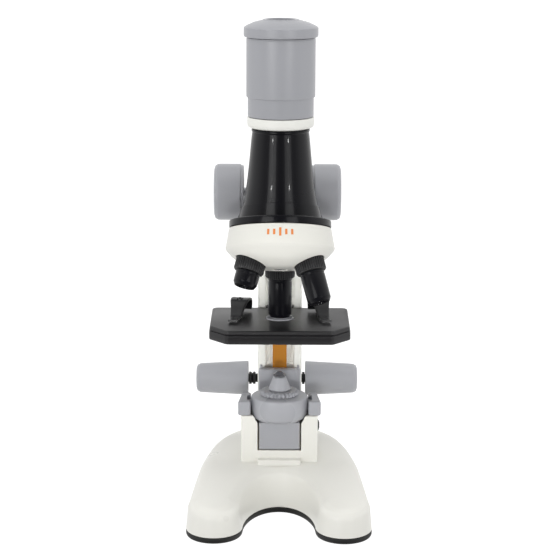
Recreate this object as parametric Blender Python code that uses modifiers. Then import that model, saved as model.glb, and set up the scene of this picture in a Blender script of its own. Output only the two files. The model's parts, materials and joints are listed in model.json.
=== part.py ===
"""A small three-objective student microscope: horseshoe base, tilting arm, sliding stage and tube.

The origin is the middle of the base's underside, under the optical axis. +Z is up, +X is to the right of
someone who faces the front, and the two toes of the base point along -Y. Sizes are in millimetres and are
turned into metres where a mesh or a place is made.
"""

import math

import bmesh
import bpy
import numpy as np
from mathutils import Matrix, Vector

MM = 0.001
GAP = 0.3
MERGE = 0.000001

# Base
TOE_X = 28.0
TOE_Y = -42.7
TOE_RX = 12.2
TOE_RY = 14.0
BASE_BACK_Y = 56.7
BASE_TAPER = 0.115
BASE_ROUND = 5.5
ARCH_Y = -46.0
ARCH_RX = 15.9
ARCH_RY = 30.7
BASE_TOP = 21.5
BASE_SLOPE = 0.155
RIM_TOP = 2.4
SHELL_WALL = 2.4
YOKE_OUT = 17.2
YOKE_IN = 9.8
YOKE_FRONT = -7.0
YOKE_TOP = 42.5
CHEEK_IN = 10.5
BASE_SCREWS = ((-TOE_X, -38.0), (TOE_X, -38.0))

# Tilt pivot and arm
PIVOT_Y = 30.0
PIVOT_Z = 27.5
ARM_HALF = 10.1
ARM_FRONT = 22.0
ARM_TOP = 153.5
CHANNEL_HALF = 6.75
SHAFT_Y = 33.0
LOW_SHAFT_Z = 49.4
HIGH_SHAFT_Z = 137.3
DRIVE_X = -1.3
PINION_R = 7.0
CHAMBER_R = 7.6

# Lamp
LAMP_Z = 46.2
BOWL_R = 13.1
CAP_TOP = 49.5

# Stage
STAGE_TOP = 86.0
STAGE_HALF = 31.0
STAGE_FRONT = -26.0
STAGE_BACK = 21.0
SKIRT_BOTTOM = 79.9
CLIP_X = 17.8
CLIP_Y = 3.5

# Turret: its axis leans by TILT, and every objective's axis meets it at the apex
APEX_Z = 158.8
TILT = math.radians(17)
TURRET_UP = Vector((0, math.sin(TILT), math.cos(TILT)))
APEX = (0.0, 0.0, APEX_Z)

COLOURS = {
    "white_plastic": ((0.83, 0.82, 0.77), 0.32, 0.0),
    "grey_plastic": ((0.37, 0.38, 0.40), 0.38, 0.0),
    "black_gloss": ((0.012, 0.012, 0.014), 0.18, 0.0),
    "black_satin": ((0.020, 0.020, 0.022), 0.42, 0.0),
    "black_rubber": ((0.010, 0.010, 0.010), 0.75, 0.0),
    "orange_plastic": ((0.39, 0.16, 0.03), 0.45, 0.0),
    "glass": ((0.75, 0.80, 0.82), 0.05, 0.0),
    "mirror": ((0.85, 0.87, 0.90), 0.05, 1.0),
    "steel": ((0.50, 0.50, 0.52), 0.30, 1.0),
    "battery": ((0.10, 0.16, 0.12), 0.35, 0.2),
}


def clear_scene():
    for old in list(bpy.data.objects):
        bpy.data.objects.remove(old, do_unlink=True)


def new_collection(name):
    collection = bpy.data.collections.new(name)
    bpy.context.scene.collection.children.link(collection)
    return collection


clear_scene()
PARTS = new_collection("microscope")
CUTTERS = new_collection("cutters")


def make_materials():
    made = {}
    for name, (colour, roughness, metallic) in COLOURS.items():
        material = bpy.data.materials.new(name)
        material.use_nodes = True
        shader = material.node_tree.nodes["Principled BSDF"]
        shader.inputs["Base Color"].default_value = (*colour, 1.0)
        shader.inputs["Roughness"].default_value = roughness
        shader.inputs["Metallic"].default_value = metallic
        made[name] = material
    return made


MATERIALS = make_materials()


def add(name, mesh, finish, place=None):
    """Links a mesh, made in metres, as an object of the part."""
    thing = bpy.data.objects.new(name, mesh)
    PARTS.objects.link(thing)
    if finish:
        mesh.materials.append(MATERIALS[finish])
    if place is not None:
        thing.matrix_world = place
    return thing


def placed(at=(0, 0, 0), up=(0, 0, 1)):
    """A matrix that stands local +Z along up, with the origin at a point in millimetres."""
    turn = Vector(up).to_track_quat("Z", "Y").to_matrix().to_4x4()
    return Matrix.Translation(Vector(at) * MM) @ turn


def hide(thing):
    PARTS.objects.unlink(thing)
    CUTTERS.objects.link(thing)
    thing.hide_render = True
    thing.display_type = "WIRE"
    return thing


def boolean(target, tool, operation):
    if tool.name in PARTS.objects:
        hide(tool)
    modifier = target.modifiers.new(operation.title() + "_" + tool.name, "BOOLEAN")
    modifier.operation = operation
    modifier.object = tool
    return target


def cut(target, *tools):
    for tool in tools:
        boolean(target, tool, "DIFFERENCE")
    return target


def join(target, *tools):
    for tool in tools:
        boolean(target, tool, "UNION")
    return target


def robust(thing):
    """Uses the manifold solver, for a solid whose many cuts leave the exact one with gaps."""
    for modifier in thing.modifiers:
        if modifier.type == "BOOLEAN":
            modifier.solver = "MANIFOLD"


def bevel(thing, width, segments=2):
    modifier = thing.modifiers.new("Edges", "BEVEL")
    modifier.width = width * MM
    modifier.segments = segments
    modifier.limit_method = "ANGLE"
    modifier.angle_limit = math.radians(40)
    return thing


def box(name, low, high, finish=None):
    """A box between two corners, in millimetres."""
    mesh = bpy.data.meshes.new(name)
    shape = bmesh.new()
    bmesh.ops.create_cube(shape, size=1.0)
    low = Vector(low)
    high = Vector(high)
    bmesh.ops.scale(shape, vec=(high - low) * MM, verts=shape.verts)
    bmesh.ops.translate(shape, vec=(high + low) * MM / 2, verts=shape.verts)
    shape.to_mesh(mesh)
    shape.free()
    return add(name, mesh, finish)


def turned(name, profile, steps, finish=None, at=(0, 0, 0), up=(0, 0, 1), ring=False):
    """A profile of (radius, height) turned about local +Z. A ring's profile closes on itself."""
    mesh = bpy.data.meshes.new(name)
    points = [(radius * MM, 0.0, height * MM) for radius, height in profile]
    edges = [(i, i + 1) for i in range(len(points) - 1)]
    if ring:
        edges.append((len(points) - 1, 0))
    mesh.from_pydata(points, edges, [])
    thing = add(name, mesh, finish, placed(at, up))
    screw = thing.modifiers.new("Turn", "SCREW")
    screw.steps = steps
    screw.render_steps = steps
    screw.use_merge_vertices = True
    screw.merge_threshold = 0.00001
    screw.use_smooth_shade = True
    return thing


def rod(name, radius, low, high, steps, finish=None, at=(0, 0, 0), up=(0, 0, 1)):
    """A round bar from one height to another along up."""
    profile = [(0, high), (radius, high), (radius, low), (0, low)]
    return turned(name, profile, steps, finish, at, up)


def cross_rod(name, radius, half, y, z, steps=24, finish=None):
    """A round bar along X, centred on x = 0."""
    return rod(name, radius, -half, half, steps, finish, (0, y, z), (1, 0, 0))


def as_mesh(curve_object, finish):
    """Swaps a curve object for a closed mesh object of the same name and place."""
    graph = bpy.context.evaluated_depsgraph_get()
    mesh = bpy.data.meshes.new_from_object(curve_object.evaluated_get(graph))
    shape = bmesh.new()
    shape.from_mesh(mesh)
    bmesh.ops.remove_doubles(shape, verts=shape.verts, dist=MERGE)
    bmesh.ops.recalc_face_normals(shape, faces=shape.faces)
    shape.to_mesh(mesh)
    shape.free()
    name = curve_object.name
    place = curve_object.matrix_world.copy()
    bpy.data.objects.remove(curve_object, do_unlink=True)
    mesh.name = name
    mesh.materials.clear()
    return add(name, mesh, finish, place)


def outline(name, points, low, high, finish=None, sideways=False):
    """A flat outline with thickness: in XY between two heights, or in YZ between two values of X."""
    curve = bpy.data.curves.new(name, "CURVE")
    curve.dimensions = "2D"
    curve.fill_mode = "BOTH"
    curve.extrude = (high - low) * MM / 2
    spline = curve.splines.new("POLY")
    spline.points.add(len(points) - 1)
    for place, (u, v) in zip(spline.points, points):
        place.co = (u * MM, v * MM, 0.0, 1.0)
    spline.use_cyclic_u = True
    thing = bpy.data.objects.new(name, curve)
    PARTS.objects.link(thing)
    middle = (low + high) * MM / 2
    if sideways:
        axes = Matrix(((0, 0, 1, middle), (1, 0, 0, 0), (0, 1, 0, 0), (0, 0, 0, 1)))
    else:
        axes = Matrix.Translation((0, 0, middle))
    thing.matrix_world = axes
    bpy.context.view_layer.update()
    return as_mesh(thing, finish)


def arc(centre, radius, start, end, count):
    """Points on an arc, in degrees, with both ends."""
    angles = np.radians(np.linspace(start, end, count))
    return [(centre[0] + radius * math.cos(a), centre[1] + radius * math.sin(a)) for a in angles]


# ---------------------------------------------------------------- base


def base_height(y):
    """The height of the base's top: level at the back, falling towards the toes."""
    return BASE_TOP - BASE_SLOPE * max(0.0, -8.0 - y)


def outer_line(stations):
    """Evenly spaced points round the outer side: a tapered body with a round back."""
    reach = BASE_BACK_Y - TOE_Y
    fine = []
    for turn in np.linspace(-math.pi / 2, math.pi / 2, 721):
        share = abs(math.cos(turn)) ** (2 / BASE_ROUND)
        half = TOE_X + TOE_RX - BASE_TAPER * reach * share
        fine.append((half * math.sin(turn), TOE_Y + reach * share))
    fine = np.array(fine)
    steps = np.hypot(*np.diff(fine, axis=0).T)
    run = np.concatenate([[0], np.cumsum(steps)])
    even = np.linspace(0, run[-1], stations + 1)
    return list(zip(np.interp(even, run, fine[:, 0]), np.interp(even, run, fine[:, 1])))


def horseshoe_line(stations=28, toe_steps=10):
    """The base's outline as a closed run of (edge point, spine point)."""
    outer = outer_line(stations)
    inner = []
    for i in range(stations + 1):
        angle = math.pi * (i / stations - 0.5)
        arch = (TOE_X - TOE_RX) * math.sin(angle)
        rise = math.sqrt(max(0.0, 1 - (arch / ARCH_RX) ** 2))
        start = math.sqrt(1 - ((TOE_X - TOE_RX) / ARCH_RX) ** 2)
        lift = (rise - start) / (1 - start)
        inner.append((arch, TOE_Y + (ARCH_Y + ARCH_RY - TOE_Y) * lift))
    spine = [((a[0] + b[0]) / 2, (a[1] + b[1]) / 2) for a, b in zip(outer, inner)]
    run = [(edge, mid, "outer") for edge, mid in zip(outer, spine)]
    for i in range(1, toe_steps):
        angle = -math.pi * i / toe_steps
        edge = (TOE_X + TOE_RX * math.cos(angle), TOE_Y + TOE_RY * math.sin(angle))
        run.append((edge, spine[-1], "toe"))
    run += [(edge, mid, "inner") for edge, mid in zip(reversed(inner), reversed(spine))]
    for i in range(1, toe_steps):
        angle = -math.pi * i / toe_steps
        edge = (-TOE_X + TOE_RX * math.cos(angle), TOE_Y + TOE_RY * math.sin(angle))
        run.append((edge, spine[0], "toe"))
    return run


def inset_point(edge, mid, inset):
    across = Vector(mid) - Vector(edge)
    share = min(1.0, inset / across.length)
    return Vector(edge) + across * share


def horseshoe(name, rings, finish=None, band=False):
    """A closed solid on the horseshoe outline.

    Each ring is (inset on the outer side, on the toes, on the arch, height as a function of y). Unless it
    is a band, the first and last rings shrink to the spine.
    """
    run = horseshoe_line()
    mesh = bpy.data.meshes.new(name)
    shape = bmesh.new()
    loops = []
    for outer, toe, inner, height in rings:
        insets = {"outer": outer, "toe": toe, "inner": inner}
        loop = []
        for edge, mid, kind in run:
            x, y = inset_point(edge, mid, insets[kind])
            loop.append(shape.verts.new((x * MM, y * MM, height(y) * MM)))
        loops.append(loop)
    pairs = list(zip(loops, loops[1:]))
    if band:
        pairs.append((loops[-1], loops[0]))
    count = len(run)
    for low, high in pairs:
        for i in range(count):
            after = (i + 1) % count
            shape.faces.new((low[i], low[after], high[after], high[i]))
    bmesh.ops.remove_doubles(shape, verts=shape.verts, dist=0.00001)
    bmesh.ops.dissolve_degenerate(shape, edges=shape.edges, dist=0.000001)
    bmesh.ops.recalc_face_normals(shape, faces=shape.faces)
    shape.to_mesh(mesh)
    shape.free()
    return add(name, mesh, finish)


def level(z):
    return lambda y: z


def share_of_top(share, drop=0.0):
    return lambda y: RIM_TOP + GAP + (base_height(y) - RIM_TOP - GAP) * share - drop


def make_base():
    far = 99.0
    shell = horseshoe(
        "base_shell",
        [
            (far, far, far, level(RIM_TOP + GAP)),
            (0, 0, 0, share_of_top(0)),
            (1.2, 1.6, 1.6, share_of_top(0.62)),
            (2.2, 2.6, 3.2, share_of_top(0.80)),
            (5.2, 6.0, 6.0, share_of_top(0.94)),
            (10.0, 9.6, 9.4, share_of_top(1.0)),
            (far, far, far, share_of_top(1.01)),
        ],
        "white_plastic",
    )
    wall = SHELL_WALL
    hollow = horseshoe(
        "base_hollow",
        [
            (far, far, far, level(0)),
            (wall, wall, wall, level(0)),
            (wall, wall, wall, level(4.8)),
            (wall + 1.4, wall + 1.6, wall + 1.8, share_of_top(0.55, 1.0)),
            (wall + 4.5, wall + 4.5, wall + 4.5, share_of_top(0.80, 1.8)),
            (far, far, far, share_of_top(0.80, 1.8)),
        ],
    )
    cut(shell, hollow)
    yoke_side = [(YOKE_FRONT, 17.5), (37, 17.5), (37, 37.5), (22, 37.5), (22, YOKE_TOP), (YOKE_FRONT, YOKE_TOP)]
    join(shell, outline("yoke", yoke_side, -YOKE_OUT, YOKE_OUT, sideways=True))
    for x, y in BASE_SCREWS:
        join(shell, rod("boss", 3.0, 4.6, 13.5, 12, at=(x, y, 0)))
    slot = [(-9, 26.4), (-5.5, 26.4), (-5.5, 20.2), (11.2, 20.2), (11.2, 17.9), (41, 17.9), (41, 60), (-9, 60)]
    cut(
        shell,
        outline("yoke_slot", slot, -YOKE_IN, YOKE_IN, sideways=True),
        box("cheek_slot", (-CHEEK_IN, 11.0, 17.6), (CHEEK_IN, 42.0, 60)),
        box("front_pocket", (-9.5, -10.8, 19.4), (9.5, YOKE_FRONT + 0.1, 23)),
        turned("bowl_room", arc((0, 0), BOWL_R + 0.9, 90, -90, 11), 28, at=(0, 0, LAMP_Z)),
        cross_rod("pivot_room", 2.3, 25, PIVOT_Y, PIVOT_Z, 16),
        box("nut_room", (-20, PIVOT_Y - 3.3, PIVOT_Z - 3.3), (-15.2, PIVOT_Y + 3.3, PIVOT_Z + 3.3)),
    )
    for x, y in BASE_SCREWS:
        cut(shell, rod("boss_bore", 1.3, 3.0, 11.0, 8, at=(x, y, 0)))

    horseshoe(
        "rubber_rim",
        [
            (0.4, 0.4, 0.4, level(0)),
            (-0.05, -0.05, -0.05, level(0.6)),
            (-0.05, -0.05, -0.05, level(RIM_TOP)),
            (3.4, 3.4, 3.4, level(RIM_TOP)),
            (3.4, 3.4, 3.4, level(0)),
        ],
        "black_rubber",
        band=True,
    )
    inset = wall + GAP + 0.2
    plate = horseshoe(
        "base_plate",
        [
            (far, far, far, level(RIM_TOP + GAP)),
            (inset, inset, inset, level(RIM_TOP + GAP)),
            (inset, inset, inset, level(4.2)),
            (far, far, far, level(4.2)),
        ],
        "white_plastic",
    )
    cut(plate, box("door_room", (-24.3, 2.7, 2), (24.3, 30.3, 5)))
    for x, y in BASE_SCREWS:
        cut(plate, rod("plate_hole", 1.4, 2, 5, 8, at=(x, y, 0)))
    robust(plate)
    door = box("battery_door", (-24, 3, 2.7), (24, 30, 4.2), "white_plastic")
    bevel(door, 0.3, 1)

    for name, y in (("battery_front", 10.0), ("battery_back", 22.0)):
        turned(
            name,
            [(0, 22.4), (1.9, 22.4), (1.9, 21.4), (5.1, 21.2), (5.1, -21.6), (0, -21.6)],
            14,
            "battery",
            (0, y, 9.8),
            (1, 0, 0),
        )
    tray = box("battery_tray", (-23.5, 8, 4.5), (23.5, 24, 4.65), "steel")
    for side in (-1, 1):
        low, high = sorted((side * 22.9, side * 23.5))
        join(tray, box("contact", (low, 5.5, 4.5), (high, 26.5, 13.6)))

    for (x, y), tag in zip(BASE_SCREWS, ("left", "right")):
        profile = [(0, 10.5), (1.0, 10.5), (1.0, 2.4), (2.3, 2.4), (2.3, 1.4), (1.6, 1.0), (0, 1.0)]
        turned("base_screw_" + tag, profile, 10, "steel", (x, y, 0))

    for side, name in ((-1, "trunnion_cap_left"), (1, "trunnion_cap_right")):
        plan = [(side * x, y) for x, y in ((12.9, -8), (18.6, -8), (17.0, 8), (12.9, 8))]
        cap = outline(name, plan, YOKE_TOP + GAP, CAP_TOP, "grey_plastic")
        bevel(cap, 0.8, 1)
        low, high = sorted((side * 12.0, side * 14.6))
        cut(
            cap,
            cross_rod("pin_room", 2.3, 30, 0, LAMP_Z, 20),
            turned("ball_room", arc((0, 0), BOWL_R + GAP, 90, -90, 13), 28, at=(0, 0, LAMP_Z)),
            box("cap_notch", (low, -6.0, 47.2), (high, 2.8, 52)),
        )

    turned(
        "pivot_screw",
        [(0, 18.7), (1.4, 18.7), (2.3, 17.9), (2.3, 17.5), (1.9, 17.5), (1.9, -17.8), (0, -17.8)],
        16,
        "black_satin",
        (0, PIVOT_Y, PIVOT_Z),
        (1, 0, 0),
    )
    turned("pivot_nut", [(3.0, 16.9), (3.0, 15.5), (2.2, 15.5), (2.2, 16.9)], 6, "steel",
           (0, PIVOT_Y, PIVOT_Z), (-1, 0, 0), ring=True)
    robust(shell)


# ---------------------------------------------------------------- arm


def arm_back(z):
    """The arm's back, bowed out in the middle of its height."""
    share = min(1.0, max(0.0, (z - 30) / 120))
    return 39.5 + 10 * math.sin(math.pi * share) ** 0.8


def make_arm():
    back = [(arm_back(z), z) for z in np.linspace(30, 148, 16)]
    top = arc((ARM_FRONT + 8, ARM_TOP - 8), 8, 90, 180, 5)
    bottom = arc((PIVOT_Y, PIVOT_Z), 9.3, -149, -5, 9)
    arm = outline("arm_body", bottom + back + [(37.0, ARM_TOP)] + top, -ARM_HALF, ARM_HALF,
                  "white_plastic", sideways=True)
    join(arm, cross_rod("head_boss", 9.4, 13.8, SHAFT_Y, HIGH_SHAFT_Z, 28))
    cut(
        arm,
        box("channel", (-CHANNEL_HALF, 20, 33), (CHANNEL_HALF, 26, 160)),
        cross_rod("low_chamber", CHAMBER_R, 6.2, SHAFT_Y, LOW_SHAFT_Z),
        cross_rod("high_chamber", CHAMBER_R, 6.2, SHAFT_Y, HIGH_SHAFT_Z),
        cross_rod("low_bearing", 2.4, 20, SHAFT_Y, LOW_SHAFT_Z, 16),
        cross_rod("high_bearing", 2.4, 20, SHAFT_Y, HIGH_SHAFT_Z, 16),
        cross_rod("arm_pivot_room", 2.2, 20, PIVOT_Y, PIVOT_Z, 16),
    )
    heights = np.linspace(62, 122, 9)
    recess = [(arm_back(z) - 2.8, z) for z in heights]
    cut(arm, outline("cover_room", recess + [(60, 122), (60, 62)], -7.8, 7.8, sideways=True))
    deep = [(36, 67), (36, 117), (60, 117), (60, 67)]
    cut(arm, outline("arm_hollow", deep, -6, 6, sideways=True))

    heights = np.linspace(62 + GAP, 122 - GAP, 9)
    outside = [(arm_back(z), z) for z in heights]
    inside = [(arm_back(z) - 2.5, z) for z in reversed(heights)]
    cover = outline("arm_cover", outside + inside, -7.5, 7.5, "white_plastic", sideways=True)
    for z, tag in ((64.6, "low"), (119.4, "high")):
        y = arm_back(z)
        rod_at = (0, y, z)
        cut(cover, rod("cover_hole", 1.3, -4, 2, 12, at=rod_at, up=(0, 1, 0)))
        cut(cover, rod("cover_sink", 2.3, -1.4, 2, 12, at=rod_at, up=(0, 1, 0)))
        cut(arm, rod("arm_hole", 1.3, -9, 2, 12, at=rod_at, up=(0, 1, 0)))
        profile = [(0, -0.1), (1.5, -0.2), (2.0, -0.6), (2.0, -1.1), (1.0, -1.1), (1.0, -8), (0, -8)]
        turned("arm_screw_" + tag, profile, 10, "steel", rod_at, (0, 1, 0))
    robust(arm)

    guide = box("rack_guide", (-9.6, 17.2, 38), (9.6, ARM_FRONT - GAP, 57.6), "grey_plastic")
    bevel(guide, 0.8, 2)


# ---------------------------------------------------------------- tube and eyepiece

CONE = [(12.2, 171.2), (12.65, 170.8), (12.9, 166), (13.6, 158), (14.5, 149), (15.4, 143), (16.6, 137),
        (17.6, 132.6), (18.7, 131.2), (18.7, 120)]


def make_tube():
    bore = [(7.6, 120), (7.6, 150), (9.5, 150), (9.5, 171.2)]
    tube = turned("body_tube", CONE + bore, 30, "black_gloss", ring=True)
    cut(tube, rod("tilted_end", 60, -60, -29.1, 24, at=APEX, up=TURRET_UP))
    turned("tube_ring", [(12.6, 176.2), (14.4, 176.2), (14.7, 175.9), (14.7, 173), (14.3, 172), (13.2, 171.5),
                         (9.6, 171.5), (9.6, 173.9), (12.6, 173.9)], 28, "white_plastic", ring=True)

    rack = box("tube_rack", (-6.4, ARM_FRONT + GAP, 112), (6.4, 25.4, 150), "black_satin")
    join(rack, box("bracket", (-5.5, 6.0, 139), (5.5, 24, 150)))
    cut(rack, turned("cone_room", [(0, 172)] + [(r + GAP, z) for r, z in CONE] + [(0, 120)], 30))
    for i in range(12):
        z = 114 + 3 * i
        cut(rack, box("tooth_gap", (-3.5, 24.4, z), (3.5, 27, z + 1.4)))

    plate = turned(
        "nosepiece_plate",
        [(2.2, -29.4), (21.7, -29.4), (22.3, -30.0), (22.35, -32.1), (2.2, -32.1)],
        30, "black_gloss", APEX, TURRET_UP, ring=True,
    )
    cut(plate, rod("light_hole", 4.2, 100, 150, 20))

    barrel = [(15.05, 210.6), (15.05, 184.9), (14.4, 184.2), (14.4, 176.5), (10.2, 176.5), (10.2, 210.6)]
    turned("eyepiece_barrel", barrel, 28, "grey_plastic", ring=True)
    cap = [(6.4, 218.4), (7.6, 218.4), (15.3, 215.6), (16.2, 215.0), (16.2, 210.9), (5.6, 210.9), (5.6, 216.2)]
    turned("eyepiece_cap", cap, 28, "grey_plastic", ring=True)
    draw = [(9.2, 210.4), (9.2, 152), (8.0, 152), (8.0, 210.4)]
    turned("draw_tube", draw, 20, "black_satin", ring=True)
    turned("eye_lens", [(0, 210.4), (4, 210.1), (7.6, 208.8), (7.6, 208.0), (0, 208.0)], 16, "glass")
    turned("field_lens", [(0, 156.4), (4, 156.1), (7.6, 154.6), (7.6, 153.6), (0, 153.6)], 16, "glass")


def objective_axis(index):
    """The direction from the apex down one objective; the first one points straight down."""
    turn = Matrix.Rotation(math.radians(120 * index), 3, TURRET_UP)
    return turn @ Vector((0, 0, -1))


# Distances from the apex: the collars' ends, and each objective's tip.
COLLAR_TOP = 45.8
COLLAR_END = 54.6
OBJECTIVES = (("high", 72.0), ("low", 60.9), ("mid", 68.1))


def make_turret():
    dome = turned(
        "turret_dome",
        [(2.6, -32.5), (22.0, -32.5), (22.4, -32.8), (23.2, -37), (23.9, -40.8), (23.5, -41.8), (21.2, -44.4),
         (18.2, -46.6), (14, -48.6), (10, -49.8), (3.9, -50.2), (3.9, -48.1), (2.6, -48.1)],
        30, "white_plastic", APEX, TURRET_UP, ring=True,
    )
    for index in range(3):
        up = -objective_axis(index)
        cut(dome, rod("socket_bore", 4.3, -55, -20, 16, at=APEX, up=up))
        cut(dome, rod("collar_room", 6.95, -60, 0.3 - COLLAR_TOP, 20, at=APEX, up=up))
    turned("turret_screw", [(0, -29.6), (1.9, -29.6), (1.9, -48.4), (3.6, -48.4), (3.6, -49.4), (2.6, -50.0),
                            (0, -50.0)], 16, "steel", APEX, TURRET_UP)
    for index, (name, tip) in enumerate(OBJECTIVES):
        up = -objective_axis(index)
        end = COLLAR_END
        collar = [(4.0, -41), (4.0, -COLLAR_TOP), (6.3, -COLLAR_TOP), (6.6, -COLLAR_TOP - 0.3),
                  (6.6, 0.3 - end), (6.3, -end), (3.3, -end), (3.3, -41)]
        turned("objective_" + name + "_collar", collar, 18, "black_satin", APEX, up, ring=True)
        barrel = [(3.0, -50), (3.0, -end - GAP), (5.04, -end - GAP), (5.0, -tip + 1.2), (4.3, -tip),
                  (2.3, -tip), (2.3, -tip + 1.8), (2.0, -tip + 2.2), (2.0, -50)]
        turned("objective_" + name + "_barrel", barrel, 16, "black_gloss", APEX, up, ring=True)
        lens = [(0, -tip + 1.7), (2.0, -tip + 1.7), (2.0, -tip + 0.8), (0, -tip + 0.4)]
        turned("objective_" + name + "_lens", lens, 10, "glass", APEX, up)


# ---------------------------------------------------------------- stage


def stage_outline(inset=0.0):
    side = STAGE_HALF - inset
    front = STAGE_FRONT + inset
    back = STAGE_BACK - inset
    corner = 23.3 - inset * 0.55
    points = [(-corner, front), (corner, front), (side, -16.6 + inset * 0.4)]
    points += arc((side - 4, back - 4), 4, 0, 90, 5)
    points += arc((-side + 4, back - 4), 4, 90, 180, 5)
    points.append((-side, -16.6 + inset * 0.4))
    return points


def make_stage():
    plate = outline("stage_plate", stage_outline(), SKIRT_BOTTOM, STAGE_TOP, "black_satin")
    bevel(plate, 0.7, 2)
    cut(
        plate,
        outline("stage_under", stage_outline(1.8), SKIRT_BOTTOM - 3, 83.2),
        box("stage_notch", (-7, 15, 78), (7, 25, 83.2)),
        rod("aperture_room", 6.5, 80, 90, 20),
    )
    for side in (-1, 1):
        cut(plate, rod("pin_hole", 1.3, 80, 90, 12, at=(side * CLIP_X, CLIP_Y, 0)))
    ring = [(4.6, 86.3), (6.0, 86.3), (6.2, 86.1), (6.2, 83.4), (4.6, 83.4)]
    turned("aperture_ring", ring, 20, "grey_plastic", ring=True)

    bracket = box("stage_bracket", (-6.3, 8, 80.9), (6.3, 25.4, 82.9), "black_satin")
    join(bracket, box("tongue", (-6.3, ARM_FRONT + GAP, 80.9), (6.3, 25.4, 86)))
    rack = box("stage_rack", (-3.2, ARM_FRONT + GAP, 44), (3.2, 25.4, 80.6), "orange_plastic")
    for i in range(11):
        z = 45.5 + 3 * i
        cut(rack, box("tooth_gap", (-4, 24.4, z), (4, 27, z + 1.4)))

    for side, tag in ((-1, "left"), (1, "right")):
        profile = [(0, 94.6), (0.8, 94.6), (1.1, 94.2), (1.1, 83.5), (0, 83.5)]
        turned("clip_pin_" + tag, profile, 10, "steel", (side * CLIP_X, CLIP_Y, 0))
    for side, name in ((-1, "stage_clip_left"), (1, "stage_clip_right")):
        make_clip(name, side)


# The clip's strip, from its heel to its foot: run along the strip, height of its middle, half width.
CLIP_PATH = (
    (-11.0, 86.9, 3.0),
    (-10.6, 88.4, 3.3),
    (-8.4, 91.2, 3.8),
    (-4.8, 93.0, 4.2),
    (-1.2, 93.5, 4.3),
    (1.6, 93.0, 4.0),
    (3.9, 91.5, 3.4),
    (5.9, 89.6, 2.9),
    (7.8, 88.1, 2.6),
    (10.2, 87.2, 2.4),
    (13.5, 87.0, 2.2),
    (15.5, 87.3, 2.1),
)
CLIP_YAW = math.radians(11)
CLIP_THICK = 1.0


def make_clip(name, side):
    """An arched strip that stands on its heel and presses with its foot, lofted along its path."""
    mesh = bpy.data.meshes.new(name)
    shape = bmesh.new()
    forward = Vector((side * math.sin(CLIP_YAW), -math.cos(CLIP_YAW), 0))
    across = Vector((math.cos(CLIP_YAW), side * math.sin(CLIP_YAW), 0))
    centre = Vector((side * CLIP_X, CLIP_Y, 0))
    up = Vector((0, 0, 1))
    loops = []
    for i, (run, height, half) in enumerate(CLIP_PATH):
        before = CLIP_PATH[max(0, i - 1)]
        after = CLIP_PATH[min(len(CLIP_PATH) - 1, i + 1)]
        along = Vector((after[0] - before[0], after[1] - before[1])).normalized()
        normal = forward * -along.y + up * along.x
        middle = centre + forward * run + up * height
        corners = []
        for w, n in ((-1, -1), (1, -1), (1, 1), (-1, 1)):
            corner = middle + across * (w * half) + normal * (n * CLIP_THICK / 2)
            corners.append(shape.verts.new(corner * MM))
        loops.append(corners)
    for low, high in zip(loops, loops[1:]):
        for i in range(4):
            after = (i + 1) % 4
            shape.faces.new((low[i], low[after], high[after], high[i]))
    shape.faces.new(list(reversed(loops[0])))
    shape.faces.new(loops[-1])
    bmesh.ops.recalc_face_normals(shape, faces=shape.faces)
    shape.to_mesh(mesh)
    shape.free()
    mesh.transform(Matrix.Translation(-centre * MM))
    clip = add(name, mesh, "black_satin", Matrix.Translation(centre * MM))
    cut(clip, rod("clip_hole", 1.5, 90, 98, 12, at=(side * CLIP_X, CLIP_Y, 0)))


# ---------------------------------------------------------------- focus drives


def make_drives():
    """Both drives: a steel shaft, a pinion and two hand wheels. Everything turns about the shaft."""
    low_line = [(0, 31.7), (2.0, 31.7), (2.0, 11.6), (2.9, 11.6), (2.9, 10.5), (2.0, 10.5), (2.0, -11.2),
                (2.9, -11.2), (2.9, -14.2), (2.0, -14.2), (2.0, -34.3), (0, -34.3)]
    high_line = [(0, 23.7), (2.0, 23.7), (2.0, -26.3), (0, -26.3)]
    turned("stage_shaft", low_line, 14, "black_satin", (0, SHAFT_Y, LOW_SHAFT_Z), (1, 0, 0))
    turned("focus_shaft", high_line, 14, "steel", (0, SHAFT_Y, HIGH_SHAFT_Z), (1, 0, 0))
    for level_name, z in (("focus", HIGH_SHAFT_Z), ("stage", LOW_SHAFT_Z)):
        at = (DRIVE_X, SHAFT_Y, z)
        teeth = 14
        gear = []
        for i in range(teeth):
            middle = 360 * i / teeth
            gear += arc((SHAFT_Y, z), PINION_R, middle - 5, middle + 5, 2)
            gear += arc((SHAFT_Y, z), PINION_R - 1.6, middle + 9, middle + 16.7, 2)
        pinion = outline(level_name + "_pinion", gear, -3.2, 3.2, "white_plastic", sideways=True)
        cut(pinion, cross_rod("pinion_bore", 2.0 + GAP, 10, SHAFT_Y, z, 16))
        for side, tag in ((-1, "left"), (1, "right")):
            up = (side, 0, 0)
            if level_name == "focus":
                wheel = [(0, 29.0), (10.6, 29.0), (12.2, 28.2), (12.85, 26.6), (12.85, 17.0), (12.3, 16.3),
                         (12.3, 15.4), (2.3, 15.4), (2.3, 25.3), (0, 25.3)]
            else:
                wheel = [(0, 37.4), (5.0, 37.4), (6.3, 36.6), (6.8, 35.0), (8.0, 13.2), (2.3, 13.2),
                         (2.3, 33.3), (0, 33.3)]
            turned(level_name + "_knob_" + tag, wheel, 24, "grey_plastic", at, up)


# ---------------------------------------------------------------- lamp


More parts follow.
